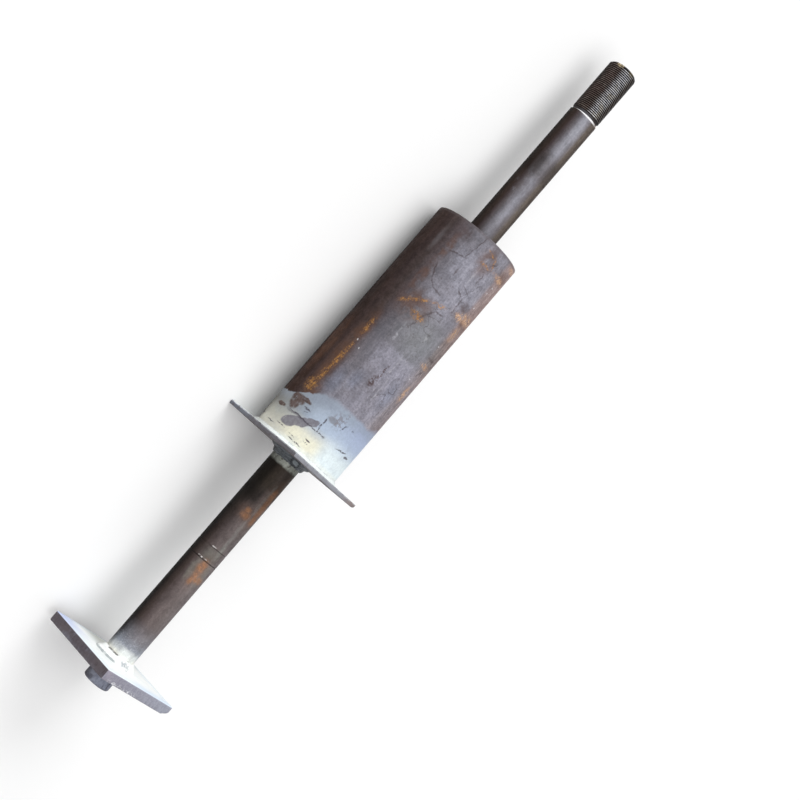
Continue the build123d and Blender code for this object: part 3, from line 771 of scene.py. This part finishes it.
def rod_material():
    """Round bar as rolled, brown under its scale, with a ground patch, rust and a zinc-splashed foot. Light and shade
    are painted round it.
    """
    material, tree = new_material("hot_rolled_bar")
    position, flat = round_place(tree, ROD_RADIUS, 4.0)
    along, turn, sheet = flat["Along"], flat["Degrees"], flat["Sheet"]
    uneven = add(tree, "ShaderNodeSeparateXYZ", {0: sheet}).outputs["X"]
    wide = mottle(tree, position, 26.0, 0.36, 0.66)
    spots = mottle(tree, position, 7.0, 0.44, 0.68, 6.0)
    fine = mottle(tree, position, 2.2, 0.4, 0.68, 4.0)
    drawn = mottle(tree, position, 4.0, 0.42, 0.68, 4.0, (0.12, 1.0, 1.0))
    # colour round the bar below the sleeve and above it: near black below as painted shade, and a painted highlight
    # where it faces the light, narrow and grey-blue on the upper part
    low_part = colour_round(tree, turn, (
        (-180, "#211c1a"), (-130, "#120f0d"), (-80, "#15110e"), (-62, "#191513"), (-48, "#292220"), (-34, "#3c3330"),
        (-16, "#514746"), (0, "#665c5b"), (20, "#706665"), (38, "#7a7170"), (62, "#716969"), (85, "#5e5655"),
        (125, "#453d3b"), (155, "#2f2927")))
    high_part = colour_round(tree, turn, (
        (-180, "#1e1917"), (-130, "#120f0e"), (-80, "#1f1815"), (-58, "#2c231f"), (-40, "#342a26"), (-29, "#42393a"),
        (-18, "#595457"), (-6, "#76747b"), (5, "#8a8a92"), (16, "#8b8a93"), (27, "#7a767b"), (42, "#696059"),
        (62, "#4c433d"), (90, "#3f3733"), (130, "#37312f")))
    upper = between(tree, along, 590.0, 900.0, 8.0)
    colour = add(tree, "ShaderNodeMix", {0: upper, 6: low_part, 7: high_part}, data_type="RGBA").outputs[2]
    front = between(tree, turn, -24.0, 55.0, 12.0)
    orange = patches(tree, sheet, ROD_RADIUS, 0.75, (
        (124, 18, 8, 3.2, 0), (134, 17, 8, 4.0, 0), (116, 15, 5, 2.4, 0), (120, 38, 4, 6, 0), (205, 14, 4, 5, 0),
        (211, 9, 3, 3, 0), (206, 54, 7, 4.0, 0), (222, 53, 14, 4.2, 0), (238, 50, 7, 4.0, 0)))
    glow = patches(tree, sheet, ROD_RADIUS, 0.7, (
        (128, 20, 18, 8, 0), (222, 52, 30, 9, 0), (208, 16, 10, 10, 0), (245, 56, 16, 7, 0)))
    colour = coats(tree, colour, (
        (product(tree, wide, front), 0.35, "#554d4c"),
        (window(tree, uneven, turn, (218.0, 300.0, 8.0), (-100.0, 16.0, 14.0)), 0.85, "#26221f"),
        (between(tree, uneven, 238.0, 290.0, 9.0), 0.85, "#38312b"),
        (window(tree, uneven, turn, (228.0, 290.0, 9.0), (-100.0, -14.0, 12.0)), 0.6, "#181512"),
        (window(tree, uneven, turn, (190.0, 245.0, 10.0), (-60.0, -12.0, 8.0)), 0.4, "#2c2825"),
        # bare greenish grey where it was ground
        (patches(tree, sheet, ROD_RADIUS, 0.6, (
            (128, -4, 13, 4, 0), (126, 40, 14, 5, 0), (148, 10, 8, 6, 0), (155, 34, 12, 3, 0))), 0.45, "#85867f"),
        (patches(tree, sheet, ROD_RADIUS, 0.6, (
            (176, 33, 20, 2.2, 0), (190, 30, 12, 2, 0), (225, 33, 20, 2.2, 0), (242, 34, 8, 1.8, 0))), 0.25, "#a3a39f"),
        (product(tree, between(tree, along, 143.0, 157.0, 1.2), front), 0.35, "#524e4a"),
        (glow, 0.4, "#6d5344"),
        (product(tree, orange, mottle(tree, position, 7.0, 0.24, 0.56, 5.0)), 0.74, "#9b7054"),
        (product(tree, orange, mottle(tree, position, 2.6, 0.46, 0.7, 4.0)), 0.4, "#b9855e"),
        # rings cut with a scriber, dark, with burrs whose brightness is a painted glint, put only where they face the
        # light
        (window(tree, along, turn, (140.3, 141.6, 0.4), (-90.0, 95.0, 12.0)), 0.7, "#211d1c"),
        (window(tree, along, turn, (156.9, 158.0, 0.4), (-12.0, 95.0, 10.0)), 0.6, "#2a2625"),
        (product(tree, between(tree, along, 141.4, 142.8, 0.4), between(tree, turn, -26.0, 24.0, 4.0),
                 mottle(tree, position, 2.2, 0.44, 0.54, 1.0)), 0.9, "#d8d4d2"),
        (product(tree, between(tree, along, 158.0, 159.2, 0.4), between(tree, turn, -8.0, 12.0, 4.0),
                 mottle(tree, position, 2.2, 0.44, 0.54, 1.0)), 0.8, "#c9c5c3"),
        # scale rubbed off the upper part in slanting bands, its pale patches also a painted highlight where they face
        # the light
        (window(tree, uneven, turn, (686.0, 716.0, 8.0), (-34.0, 60.0, 8.0)), 0.42, "#5b5452"),
        (product(tree, spots, patches(tree, sheet, ROD_RADIUS, 0.95, (
            (655, -10, 16, 3.0, -24), (628, 18, 16, 4, 20), (672, 2, 20, 4, -16), (727, 9, 6, 5, 0)))),
         0.4, "#b4b3bd"),
        (patches(tree, sheet, ROD_RADIUS, 0.8, ((750, 14, 24, 5, 0),)), 0.4, "#a9aab3"),
        # zinc splashed up from the foot, and a pale band below the sleeve's plate
        (window(tree, uneven, turn, (-13.0, 42.0, 13.0), (-52.0, 170.0, 26.0)), 0.45, "#81858f"),
        (window(tree, uneven, turn, (-13.0, 26.0, 7.0), (-66.0, 170.0, 26.0)), 0.55, "#99a0ac"),
        (product(tree, between(tree, uneven, -13.0, 30.0, 12.0), mottle(tree, position, 1.4, 0.5, 0.7, 3.0)),
         0.3, "#dfe2e4"),
        (window(tree, uneven, turn, (-13.0, 17.0, 5.0), (-90.0, 170.0, 24.0)), 0.6, "#d6d9d8"),
        (between(tree, uneven, -13.0, 11.0, 3.5), 0.9, "#ecebe0"),
        (window(tree, uneven, turn, (-13.0, 17.5, 3.0), (-8.0, 64.0, 12.0)), 0.7, "#e9edeb"),
        (product(tree, between(tree, uneven, 270.5, 300.0, 1.8), mottle(tree, position, 5.0, 0.3, 0.5, 4.0)),
         0.92, "#a0a39b"),
    ))
    colour = grain(tree, colour, spots, 1.05, 0.86)
    colour = grain(tree, colour, drawn, 0.95, 1.12)
    colour = grain(tree, colour, fine, 0.92, 1.08)
    # darker stretches below the sleeve and above it; the lower side, and the sides beside the front band, are darkened
    # as painted shade
    sides = add(tree, "ShaderNodeMath", {0: 1.0, 1: between(tree, turn, -22.0, 24.0, 12.0)},
                operation="SUBTRACT").outputs[0]
    colour = grain(tree, colour, between(tree, turn, -135.0, -57.0, 7.0), 1.0, 0.7)
    colour = grain(tree, colour, between(tree, uneven, 162.0, 232.0, 10.0), 1.0, 0.8)
    colour = grain(tree, colour, product(tree, between(tree, uneven, 222.0, 290.0, 10.0), sides), 1.0, 0.62)
    colour = grain(tree, colour, product(tree, between(tree, uneven, 686.0, 716.0, 8.0), sides), 1.0, 0.7)
    colour = grain(tree, colour, window(tree, uneven, turn, (687.0, 715.0, 7.0), (-30.0, -2.0, 8.0)), 1.0, 0.56)
    # turned foot below the plate, with a painted highlight on its top and painted shade on its lower side
    foot = between(tree, along, -60.0, -11.5, 0.3)
    colour = coats(tree, colour, (
        (foot, 1.0, "#777985"),
        (product(tree, foot, between(tree, turn, -14.0, 80.0, 24.0)), 0.8, "#9499aa"),
        (product(tree, foot, spots), 0.55, "#4b4a53"),
        (product(tree, foot, mottle(tree, position, 3.0, 0.5, 0.64, 4.0, (0.25, 1.0, 1.0))), 0.5, "#3f3d43"),
        (product(tree, foot, mottle(tree, position, 9.0, 0.52, 0.64, 3.0)), 0.35, "#b0b4c4"),
        (product(tree, foot, between(tree, turn, -120.0, -46.0, 14.0)), 0.6, "#3d3a3f"),
        (product(tree, between(tree, along, -60.0, -29.5, 0.8), mottle(tree, position, 6.0, 0.35, 0.6, 3.0)),
         0.5, "#3c393f"),
    ))
    # bright ring where the turning tool left off, widest in front: bare metal, painted white as a highlight where it
    # faces the light; beyond it the dark groove, with a painted highlight in front
    lip = add(tree, "ShaderNodeMapRange", {0: turn, 1: -50.0, 2: 14.0, 3: 776.2, 4: 774.3},
              interpolation_type="SMOOTHSTEP").outputs[0]
    past = add(tree, "ShaderNodeMath", {0: along, 1: lip}, operation="SUBTRACT").outputs[0]
    bare = add(tree, "ShaderNodeMapRange", {0: past, 1: 0.0, 2: 0.8}, interpolation_type="SMOOTHSTEP").outputs[0]
    groove = between(tree, along, 776.9, 900.0, 0.15)
    ring_painted_highlight = between(tree, turn, -50.0, 46.0, 20.0)
    colour = coats(tree, colour, (
        (product(tree, bare, between(tree, turn, -90.0, 80.0, 14.0)), 0.6, "#8d8078"),
        (product(tree, bare, ring_painted_highlight), 1.0, "#f2f2f4"),
        (groove, 1.0, "#35302f"),
        (product(tree, groove, between(tree, turn, -30.0, 30.0, 20.0)), 0.6, "#5d5c61"),
    ))
    height = add(tree, "ShaderNodeMath", {0: spots, 1: 0.8, 2: fine}, operation="MULTIPLY_ADD").outputs[0]
    steel_shader(tree, colour, (spots, 0.42, 0.6), height, relief=0.10, metallic=0.0, specular=0.04)
    return material


def thread_material():
    """Thread cut in the bare bar: rubbed crests, painted white where they face the light as a highlight, over roots
    painted near black as shade.
    """
    material, tree = new_material("cut_thread_with_oily_roots")
    position, flat = round_place(tree, ROD_RADIUS, 3.0)
    along, turn = flat["Along"], flat["Degrees"]
    radius = distance_from_axis(tree, position)
    crest = add(tree, "ShaderNodeMapRange", {0: radius, 1: ROD_RADIUS - 0.5, 2: ROD_RADIUS - 0.1},
                interpolation_type="SMOOTHSTEP").outputs[0]
    wide = mottle(tree, position, 14.0, 0.35, 0.65)
    spots = mottle(tree, position, 5.0, 0.42, 0.62, 4.0)
    crest_highlight_band = between(tree, turn, -2.0, 38.0, 14.0)
    # near black roots and flanks, darker or lighter round the bolt: painted shade
    colour = colour_round(tree, turn, (
        (-180, "#1b1817"), (-120, "#141110"), (-75, "#1a1413"), (-50, "#1d1715"), (-30, "#211a18"), (-12, "#121010"),
        (20, "#0f0e10"), (42, "#292828"), (54, "#272626"), (64, "#121111"), (85, "#181716"), (140, "#1e1c1b")))
    colour = coats(tree, colour, (
        # crests paler over the front, and white in the band that faces the light: painted highlight
        (product(tree, crest, between(tree, turn, -60.0, 70.0, 18.0)), 0.8, "#6c605a"),
        (product(tree, crest, spots, between(tree, turn, -56.0, -12.0, 14.0)), 0.5, "#a59a93"),
        (product(tree, crest, crest_highlight_band), 0.95, "#c3c4cb"),
        (product(tree, crest, crest_highlight_band, spots), 0.6, "#fdfdff"),
        (product(tree, wide, between(tree, turn, -90.0, 0.0, 20.0)), 0.35, "#4a3530"),
        (product(tree, between(tree, turn, 12.0, 44.0, 8.0), mottle(tree, position, 9.0, 0.5, 0.62, 3.0)),
         0.35, "#7a6c4a"),
        (product(tree, between(tree, along, 842.5, 850.0, 1.0), between(tree, turn, -40.0, -12.0, 5.0),
                 mottle(tree, position, 2.4, 0.42, 0.55, 3.0)), 0.85, "#c4b596"),
    ))
    end = add(tree, "ShaderNodeMapRange", {0: along, 1: THREAD_END - 0.3, 2: THREAD_END - 0.05}).outputs[0]
    colour = coats(tree, colour, (
        (end, 1.0, "#6f6d70"),
        (product(tree, end, wide), 0.5, "#4a4646"),
    ))
    steel_shader(tree, colour, (crest, 0.55, 0.3), spots, relief=0.05, metallic=0.2, specular=0.1)
    return material


def anchor_plate_material():
    """Thick plate, white with zinc on its face, with sheared edges left brown and lilac-grey, the top edge painted
    lighter as lit.
    """
    material, tree = new_material("zinc_sprayed_sheared_plate")
    position = bolt_position(tree)
    part = add(tree, "ShaderNodeSeparateXYZ", {0: position}).outputs
    half = ANCHOR_PLATE_SIDE / 2
    wide = mottle(tree, position, 24.0, 0.38, 0.64)
    spots = mottle(tree, position, 7.0, 0.44, 0.64, 5.0)
    fine = mottle(tree, position, 2.0, 0.42, 0.64, 4.0)
    sheared = mottle(tree, position, 2.6, 0.42, 0.62, 3.0, (0.12, 1.0, 1.0))
    # face towards the thread
    rim = add(tree, "ShaderNodeVectorMath", {0: position, 1: (0.0, 1.0, 1.0)}, operation="MULTIPLY").outputs[0]
    rim = add(tree, "ShaderNodeVectorMath", {0: rim}, operation="ABSOLUTE").outputs[0]
    rim = add(tree, "ShaderNodeSeparateXYZ", {0: rim}).outputs
    far_out = add(tree, "ShaderNodeMath", {0: rim["Y"], 1: rim["Z"]}, operation="MAXIMUM").outputs[0]
    from_rod = distance_from_axis(tree, position)
    lowest = add(tree, "ShaderNodeMapRange", {0: part["Z"], 1: 4.0, 2: -50.0},
                 interpolation_type="SMOOTHSTEP").outputs[0]
    backmost = add(tree, "ShaderNodeMapRange", {0: part["Y"], 1: 30.0, 2: -10.0},
                   interpolation_type="SMOOTHSTEP").outputs[0]
    colour = coats(tree, hex_colour("#fafcfb"), (
        (between(tree, far_out, half - 8, half + 9, 6.0), 0.6, "#e0ecf6"),
        (wide, 0.25, "#e6f1f2"),
        (between(tree, from_rod, 0.0, 25.0, 4.0), 0.35, "#f8f5e8"),
        (product(tree, lowest, backmost), 0.7, "#b7baae"),
        (product(tree, lowest, between(tree, part["Y"], 34.0, 70.0, 14.0)), 0.85, "#b9c6ea"),
        (product(tree, between(tree, part["Z"], 44.0, 80.0, 14.0), backmost), 0.6, "#cbdcf0"),
        (product(tree, between(tree, far_out, half - 4, half + 9, 2.0), lowest), 0.35, "#c3cbe6"),
        (product(tree, spots, between(tree, from_rod, 24.0, 90.0, 6.0)), 0.1, "#c4cdd0"),
    ))
    # sheared sides: the one facing the front is brown, the top one lilac-grey and painted lighter, as the side the
    # light falls on, with white specks on its torn rim painted as glints
    top, back = plate_sides(tree)[1:]
    side = add(tree, "ShaderNodeMapRange", {0: part["X"], 1: -0.45, 2: -0.9}).outputs[0]
    to_back = add(tree, "ShaderNodeMapRange", {0: part["Y"], 1: half, 2: -half}).outputs[0]
    torn = add(tree, "ShaderNodeMapRange", {0: part["X"], 1: -7.0, 2: -10.5},
               interpolation_type="SMOOTHSTEP").outputs[0]
    edges = coats(tree, hex_colour("#524b51"), (
        (wide, 0.5, "#5d5557"),
        (product(tree, spots, sheared), 0.5, "#413a3e"),
        (mottle(tree, position, 16.0, 0.56, 0.68), 0.6, "#6b6a75"),
        (top, 1.0, "#888491"),
        (product(tree, top, to_back), 0.8, "#9da1af"),
        (product(tree, top, sheared), 0.3, "#7d7c88"),
        (product(tree, top, fine), 0.3, "#b3b6c0"),
        (product(tree, top, torn, between(tree, part["Y"], 2.0, 46.0, 9.0), mottle(tree, position, 1.8, 0.5, 0.6, 3.0)),
         0.9, "#ecedf2"),
        (product(tree, top, between(tree, part["Y"], 46.0, 70.0, 5.0), wide), 0.7, "#a29aa6"),
        (product(tree, torn, sheared), 0.35, "#77767f"),
        (back, 1.0, "#5c5557"),
        (product(tree, back, wide), 0.6, "#8c8c93"),
        (product(tree, back, spots), 0.4, "#4a3f3c"),
        (product(tree, back, between(tree, far_out, half - 10, half + 9, 7.0)), 0.5, "#9fa3ab"),
    ))
    colour = add(tree, "ShaderNodeMix", {0: side, 6: colour, 7: edges}, data_type="RGBA").outputs[2]
    height = add(tree, "ShaderNodeMath", {0: product(tree, side, sheared), 1: 0.5, 2: fine},
                 operation="MULTIPLY_ADD").outputs[0]
    steel_shader(tree, colour, (spots, 0.5, 0.68), height, relief=0.12, metallic=0.0, specular=0.15)
    return material


def sleeve_plate_material():
    """Thin plate, white with zinc where it meets the tube, with grey sheared edges and a brown back."""
    material, tree = new_material("zinc_splashed_thin_plate")
    position = bolt_position(tree)
    part = add(tree, "ShaderNodeSeparateXYZ", {0: position}).outputs
    wide = mottle(tree, position, 20.0, 0.38, 0.64)
    spots = mottle(tree, position, 6.0, 0.44, 0.64, 5.0)
    fine = mottle(tree, position, 2.0, 0.42, 0.64, 4.0)
    sheared = mottle(tree, position, 2.6, 0.42, 0.62, 3.0, (0.15, 1.0, 1.0))
    facing, top, back = plate_sides(tree)
    face = add(tree, "ShaderNodeMapRange", {0: facing["X"], 1: 0.3, 2: 0.7}).outputs[0]
    rusty_end = add(tree, "ShaderNodeMapRange", {0: part["Y"], 1: -28.0, 2: -56.0},
                    interpolation_type="SMOOTHSTEP").outputs[0]
    low_end = add(tree, "ShaderNodeMapRange", {0: part["Z"], 1: -10.0, 2: -55.0},
                  interpolation_type="SMOOTHSTEP").outputs[0]
    from_rod = distance_from_axis(tree, position)
    above = add(tree, "ShaderNodeMapRange", {
        0: part["X"], 1: SLEEVE_PLATE_START + 3.2, 2: SLEEVE_PLATE_START + 4.2}).outputs[0]
    colour = coats(tree, hex_colour("#5c5a5e"), (
        (wide, 0.5, "#6e6c73"),
        (product(tree, mottle(tree, position, 8.0, 0.46, 0.6, 4.0, (3.0, 0.35, 0.35)), low_end), 0.4, "#868d97"),
        (low_end, 0.7, "#646a75"),
        (product(tree, mottle(tree, position, 12.0, 0.5, 0.62), sheared), 0.6, "#5d4a46"),
        # the edge that faces up, painted lighter as the side the light falls on
        (top, 1.0, "#8f9097"),
        (product(tree, top, wide), 0.4, "#9c9da5"),
        (product(tree, top, rusty_end), 0.85, "#8a7c79"),
        (product(tree, sheared, spots), 0.35, "#4e4d52"),
        (product(tree, above, mottle(tree, position, 5.0, 0.38, 0.54, 4.0)), 0.55, "#c6cbcf"),
        (product(tree, above, low_end, mottle(tree, position, 3.0, 0.4, 0.5, 4.0)), 0.9, "#e3e8ec"),
        (face, 1.0, "#f3f7f8"),
        (product(tree, face, wide), 0.4, "#d9e0e4"),
        (product(tree, face, spots, low_end), 0.6, "#9aa0a0"),
        (back, 1.0, "#51484a"),
        (product(tree, back, spots), 0.5, "#3a3230"),
        (product(tree, back, wide), 0.45, "#77757b"),
        (product(tree, back, mottle(tree, position, 15.0, 0.56, 0.68, 5.0)), 0.6, "#7d5a42"),
        (product(tree, back, between(tree, from_rod, 0.0, 34.0, 5.0)), 0.5, "#8d8e89"),
    ))
    height = add(tree, "ShaderNodeMath", {0: fine, 1: sheared}, operation="ADD").outputs[0]
    steel_shader(tree, colour, (spots, 0.5, 0.66), height, relief=0.12, metallic=0.0, specular=0.15)
    return material


def pale_weld_material():
    """Weld on the anchor plate, white with zinc, with a gap left along the rod in front, its darkness painted as the
    shade in it, and greyer on its lower side as painted shade.
    """
    material, tree = new_material("zinc_whitened_weld")
    position, flat = round_place(tree, ROD_RADIUS, 2.0)
    radius = distance_from_axis(tree, position)
    spots = mottle(tree, position, 4.0, 0.44, 0.62, 4.0)
    fine = mottle(tree, position, 1.6, 0.42, 0.64, 3.0)
    toe = between(tree, radius, 24.9, 27.0, 0.5)
    colour = coats(tree, hex_colour("#f7f9f7"), (
        (spots, 0.25, "#d6dddd"),
        (product(tree, toe, between(tree, flat["Degrees"], -90.0, 2.0, 8.0),
                 mottle(tree, position, 9.0, 0.3, 0.5, 3.0)), 0.8, "#8f989c"),
        (product(tree, toe, mottle(tree, position, 9.0, 0.5, 0.6, 3.0)), 0.5, "#a9b0b2"),
        # the gap along the rod in front: its darkness is painted shade
        (product(tree, between(tree, radius, 17.0, 20.2, 0.5), between(tree, flat["Degrees"], -46.0, -2.0, 4.0),
                 mottle(tree, position, 2.4, 0.3, 0.46, 3.0)), 0.92, "#54524d"),
        (product(tree, between(tree, radius, 20.5, 25.5, 1.2), between(tree, flat["Degrees"], 16.0, 46.0, 5.0),
                 mottle(tree, position, 3.4, 0.42, 0.54, 3.0)), 0.7, "#929ba3"),
        # greyer on the lower side: painted shade
        (between(tree, flat["Degrees"], -180.0, -80.0, 14.0), 0.5, "#8f8f88"),
    ))
    steel_shader(tree, colour, (spots, 0.45, 0.62), fine, relief=0.10, metallic=0.0, specular=0.15)
    return material


def dark_weld_material():
    """Weld under the sleeve's plate, left as laid: dark slag-stained steel with paler ripples."""
    material, tree = new_material("weld_as_laid")
    position, flat = round_place(tree, ROD_RADIUS, 2.0)
    spots = mottle(tree, position, 4.0, 0.42, 0.62, 4.0)
    fine = mottle(tree, position, 1.6, 0.42, 0.64, 3.0)
    # fine lines run round it, and a drop of metal left a ring on it in front
    streaks = mottle(tree, position, 3.0, 0.44, 0.56, 3.0, (3.0, 0.3, 0.3))
    outer = patches(tree, flat["Sheet"], ROD_RADIUS, 0.16, ((280.6, 22, 4.2, 6.2, 20),))
    inner = patches(tree, flat["Sheet"], ROD_RADIUS, 0.3, ((281.2, 23, 2.0, 4.2, 20),))
    around = add(tree, "ShaderNodeMath", {0: outer, 1: inner}, operation="SUBTRACT").outputs[0]
    colour = coats(tree, hex_colour("#5c6064"), (
        (spots, 0.4, "#6f7378"),
        (streaks, 0.65, "#35383b"),
        (mottle(tree, position, 9.0, 0.54, 0.66, 4.0), 0.4, "#3a3b3c"),
        # lighter in the band that faces the light: painted highlight
        (product(tree, between(tree, flat["Degrees"], 8.0, 38.0, 5.0), fine), 0.6, "#858a90"),
        (inner, 0.7, "#7b8185"),
        (around, 0.85, "#2b2d30"),
        # darker on the lower side: painted shade
        (between(tree, flat["Degrees"], -180.0, -64.0, 20.0), 0.5, "#2f2e2d"),
    ))
    steel_shader(tree, colour, (spots, 0.42, 0.6), fine, relief=0.15, metallic=0.1, specular=0.15)
    return material


def bright_weld_material():
    """Small weld round the tube's foot, white with zinc."""
    material, tree = new_material("zinc_whitened_small_weld")
    position, flat = round_place(tree, TUBE_RADIUS, 2.0)
    spots = mottle(tree, position, 4.0, 0.44, 0.62, 4.0)
    colour = coats(tree, hex_colour("#e4e9e7"), (
        (spots, 0.35, "#c6d0d2"),
        (product(tree, between(tree, flat["Along"], TUBE_FOOT + 2.6, TUBE_FOOT + 5.0, 0.3),
                 mottle(tree, position, 8.0, 0.4, 0.6, 3.0)), 0.5, "#a5abad"),
        # greyer on the lower side: painted shade
        (between(tree, flat["Degrees"], -180.0, -46.0, 22.0), 0.6, "#a9a9a4"),
    ))
    steel_shader(tree, colour, (spots, 0.42, 0.58), spots, relief=0.12, metallic=0.0, specular=0.15)
    return material


# Pieces

def build_rod(steel, thread):
    """Shank with its foot and relief, then the thread."""
    finish_piece(rod_mesh(), "anchor_rod_bar", [steel], "anchor_rod")
    mesh = run_tree("anchor_rod_thread", thread_tree(), {
        "Crest Radius": ROD_RADIUS, "Depth": THREAD_DEPTH, "Pitch": THREAD_PITCH, "Length": THREAD_LENGTH,
        "Chamfer": THREAD_CHAMFER, "Start": THREAD_START, "Rows Per Pitch": 12, "Steps Around": 97, "Wear": 0.25,
        "Finish": thread})
    finish_piece(tidy(mesh), "anchor_rod_thread", [thread], "anchor_rod", crease=60)


def build_plates(anchor, sleeve):
    """Both sheared plates, with their edges as the shear and the torch left them."""
    thick = ANCHOR_PLATE_THICKNESS
    straight = ((d, 0.0) for d in (2.5, 4.0, 5.5, 7.0, 8.5, 9.6, 10.6, 11.3))
    mesh = plate_mesh(
        "anchor_plate_sheared", ANCHOR_PLATE_SIDE, -thick, thick, hole=ROD_RADIUS - 1.0,
        levels=[(0.0, 0.8), (0.3, 0.25), (0.9, 0.0), *straight, (thick, 0.5)], jag=0.3, rounding=4.5, seed=3.0)
    finish_piece(mesh, "anchor_plate_sheared", [anchor], "anchor_plate")
    thick = SLEEVE_PLATE_THICKNESS
    straight = ((d, 0.0) for d in (1.5, 2.5, 3.5, 4.3))
    mesh = plate_mesh(
        "sleeve_plate_sheared", SLEEVE_PLATE_SIDE, SLEEVE_PLATE_START, thick, hole=ROD_RADIUS + HOLE_CLEARANCE,
        levels=[(0.0, 0.5), (0.25, 0.1), (0.7, 0.0), *straight, (thick, 0.3)], jag=0.2, rounding=1.5, seed=11.0)
    finish_piece(mesh, "sleeve_plate_sheared", [sleeve], "sleeve_plate")


def build_tube(body, foot):
    """Sleeve tube, with the zinc finish on its foot."""
    mesh = tube_mesh()
    for face in mesh.polygons:
        face.material_index = int(face.center.x < TUBE_FOOT_FINISH_END)
    finish_piece(mesh, "sleeve_tube_rolled", [body, foot], "sleeve_tube")


def build_welds(pale, dark, bright):
    """The three fillet welds, all laid by the same tree."""
    tree = bead_tree()
    on_rod = {"Corner Radius": ROD_RADIUS, "Leg": ROD_WELD_LEG, "Steps Around": 721}
    on_tube = {"Corner Radius": TUBE_RADIUS, "Leg": TUBE_WELD_LEG, "Steps Around": 1441}
    beads = (
        ("anchor_plate_weld", pale, {
            **on_rod, "Face": 0.0, "Side": 1.0, "Fullness": 0.7, "Ripples": 34.0, "Ripple Height": 0.25,
            "Lump Height": 1.2, "Lump Size": 9.0, "Seed": 4.0}),
        ("sleeve_plate_weld", dark, {
            **on_rod, "Face": SLEEVE_PLATE_START, "Side": -1.0, "Fullness": 0.58, "Ripples": 30.0,
            "Ripple Height": 0.35, "Lump Height": 2.2, "Lump Size": 7.0, "Seed": 9.0}),
        ("sleeve_tube_weld", bright, {
            **on_tube, "Face": TUBE_FOOT, "Side": 1.0, "Fullness": 0.78, "Ripples": 120.0, "Ripple Height": 0.25,
            "Lump Height": 0.9, "Lump Size": 7.0, "Seed": 14.0}))
    for node, steel, values in beads:
        name = node + "_bead"
        mesh = run_tree(name, tree, {**values, "Finish": steel})
        finish_piece(tidy(mesh), name, [steel], node, crease=60)


# Floor, lamps and camera

def build_floor():
    """Plain pale floor. It looks white to the camera and in reflections, and keeps the bolt's shadow."""
    mesh = bpy.data.meshes.new("floor")
    half = 6.0
    corners = [(-half, -half, 0), (half, -half, 0), (half, half, 0), (-half, half, 0)]
    mesh.from_pydata(corners, [], [(0, 1, 2, 3)])
    material, tree = new_material("matt_white_paper")
    shader = add(tree, "ShaderNodeBsdfPrincipled", {
        "Base Color": hex_colour("#fbfbfb"), "Roughness": 0.9, "Specular IOR Level": 0.1})
    add(tree, "ShaderNodeOutputMaterial", {0: shader.outputs[0]})
    mesh.materials.append(material)
    floor = bpy.data.objects.new("floor", mesh)
    bpy.context.scene.collection.objects.link(floor)


def lamp(name, towards, strength, spread):
    """Soft distant light that shines in this direction, spread over an angle in degrees."""
    light = bpy.data.lights.new(name, "SUN")
    light.energy = strength
    light.angle = radians(spread)
    holder = bpy.data.objects.new(name, light)
    bpy.context.scene.collection.objects.link(holder)
    holder.rotation_euler = Vector(towards).to_track_quat("-Z", "Y").to_euler()


def build_lights():
    """Broad soft light nearly overhead, a second one onto the plates' faces, and an even white room."""
    lamp("overhead_light", (0.0, -0.3, -1.0), 1.42, 70)
    lamp("plate_light", (-1.0, -0.25, -0.45), 1.6, 50)
    world = bpy.data.worlds.new("studio_room")
    bpy.context.scene.world = world
    world.use_nodes = True
    tree = world.node_tree
    tree.nodes.clear()
    room = add(tree, "ShaderNodeBackground", {0: hex_colour("#ffffff"), 1: 0.44})
    backdrop = add(tree, "ShaderNodeBackground", {0: hex_colour("#ffffff"), 1: 1.0})
    seen = add(tree, "ShaderNodeLightPath").outputs
    white = add(tree, "ShaderNodeMath", {0: seen["Is Camera Ray"], 1: seen["Is Glossy Ray"]},
                operation="MAXIMUM").outputs[0]
    white = add(tree, "ShaderNodeMath", {0: white, 1: seen["Is Transmission Ray"]}, operation="MAXIMUM").outputs[0]
    mix = add(tree, "ShaderNodeMixShader", {0: white, 1: room.outputs[0], 2: backdrop.outputs[0]})
    add(tree, "ShaderNodeOutputWorld", {0: mix.outputs[0]})


def build_camera():
    """Camera where the photograph was taken, in metres, turned so that the rod runs up to the right."""
    place = Vector((-0.12083, 1.25817, 1.25822))
    aim = Vector((0.001125, -0.0352, 0.094395))
    roll = radians(40.704)
    ahead = (aim - place).normalized()
    rod_up = (rod_axis - ahead * rod_axis.dot(ahead)).normalized()
    side = ahead.cross(rod_up)
    right = side * cos(roll) + rod_up * sin(roll)
    up = rod_up * cos(roll) - side * sin(roll)
    lens = bpy.data.cameras.new("camera")
    lens.sensor_width = 36.0
    lens.lens = 72.282
    camera = bpy.data.objects.new("camera", lens)
    bpy.context.scene.collection.objects.link(camera)
    camera.matrix_world = Matrix.Translation(place) @ Matrix((right, up, -ahead)).transposed().to_4x4()
    bpy.context.scene.camera = camera


# Node groups that the materials share, and then everything in the picture
unrolled = unrolled_group()
patch = patch_group()
bpy.context.scene.view_settings.view_transform = "Standard"
build_rod(rod_material(), thread_material())
build_plates(anchor_plate_material(), sleeve_plate_material())
build_tube(tube_body_material(), tube_foot_material())
build_welds(pale_weld_material(), dark_weld_material(), bright_weld_material())
build_floor()
build_lights()
build_camera()
